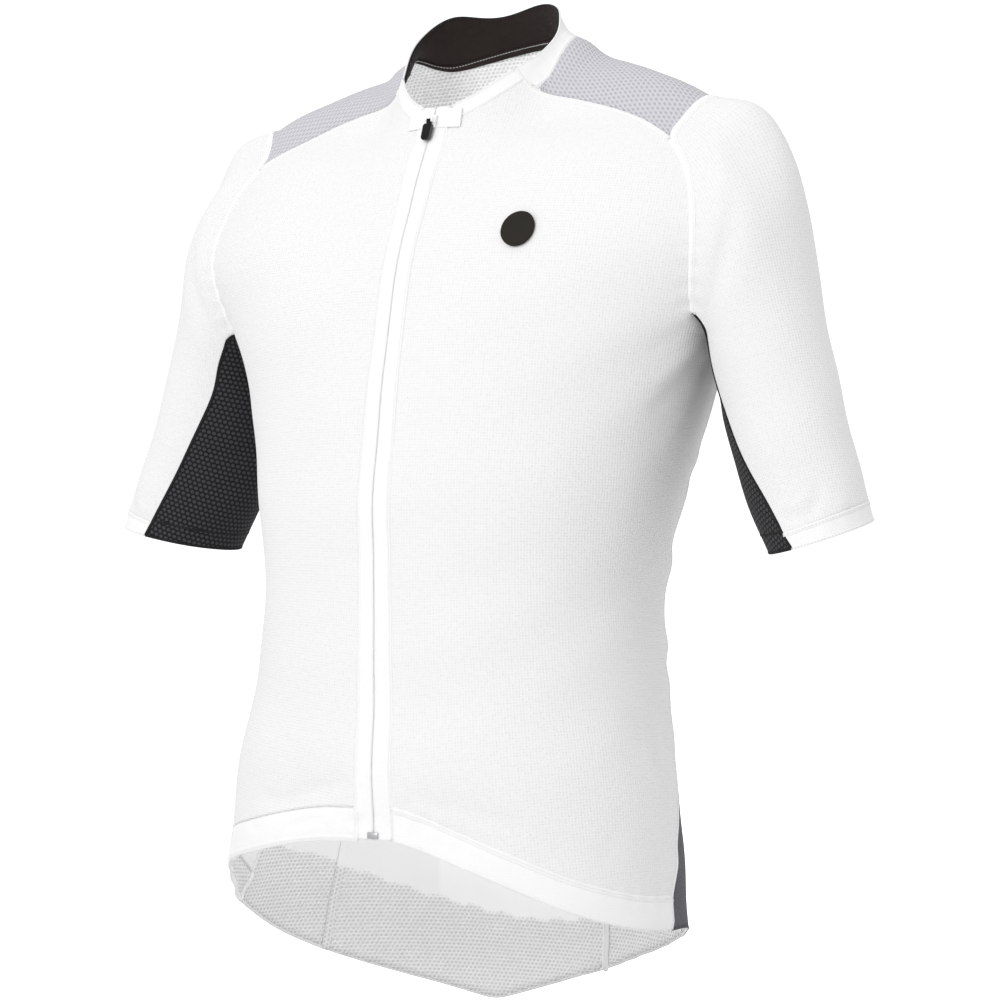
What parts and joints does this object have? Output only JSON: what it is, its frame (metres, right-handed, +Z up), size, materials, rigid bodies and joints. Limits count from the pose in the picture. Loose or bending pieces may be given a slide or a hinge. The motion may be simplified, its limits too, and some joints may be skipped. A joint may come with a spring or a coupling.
{
  "type": "short-sleeved cycling jersey",
  "caption": "Short-sleeved cycling jersey, filled out as worn, with a full front zip, stand collar, mesh back with rear pockets and a dropped tail.",
  "frame": {"origin": "in the middle of the neck opening, level with the shoulder line, where the wearer's neck and shoulders hold the jersey", "axes": "+Z up towards the collar, -Y the jersey's front, +X the wearer's left"},
  "size_m": [0.6422, 0.2604, 0.7225],
  "materials": {
    "white_knit": "fine matt knit",
    "white_trim": "smooth elastic knit",
    "grey_mesh": "open mesh knit",
    "black_mesh": "open mesh knit",
    "side_knit": "fine matt knit",
    "collar_lining": "soft brushed knit",
    "badge_print": "flexible matt print",
    "zip_metal": "satin",
    "pull_rubber": "matt"
  },
  "bodies": {
    "jersey": {"back_panel": "grey_mesh", "badge": "badge_print", "collar": "white_trim", "collar_lining": "collar_lining", "cuff_band_left": "white_trim", "cuff_band_right": "white_trim", "front_left": "white_knit", "front_right": "white_knit", "gusset_left": "black_mesh", "gusset_right": "black_mesh", "hem_band_left": "white_trim", "hem_band_right": "white_trim", "neck_binding_left": "white_trim", "neck_binding_right": "white_trim", "pocket_centre": "white_knit", "pocket_left": "white_knit", "pocket_right": "white_knit", "side_panel_left": "side_knit", "side_panel_right": "side_knit", "sleeve_left": "white_knit", "sleeve_right": "white_knit", "zip_guard_left": "white_trim", "zip_guard_right": "white_trim", "zip_slider": "zip_metal", "zip_stop": "zip_metal", "zip_tape_left": "white_trim", "zip_tape_right": "white_trim"},
    "pull_tab": {"pull_tab": "pull_rubber"}
  },
  "joints": [
    {"name": "pull_tab_hinge", "type": "hinge", "parent": "jersey", "child": "pull_tab", "pos_m": [0, -0.04156, -0.03413], "axis": [-1, 0, 0], "range_deg": [0, 150]}
  ]
}
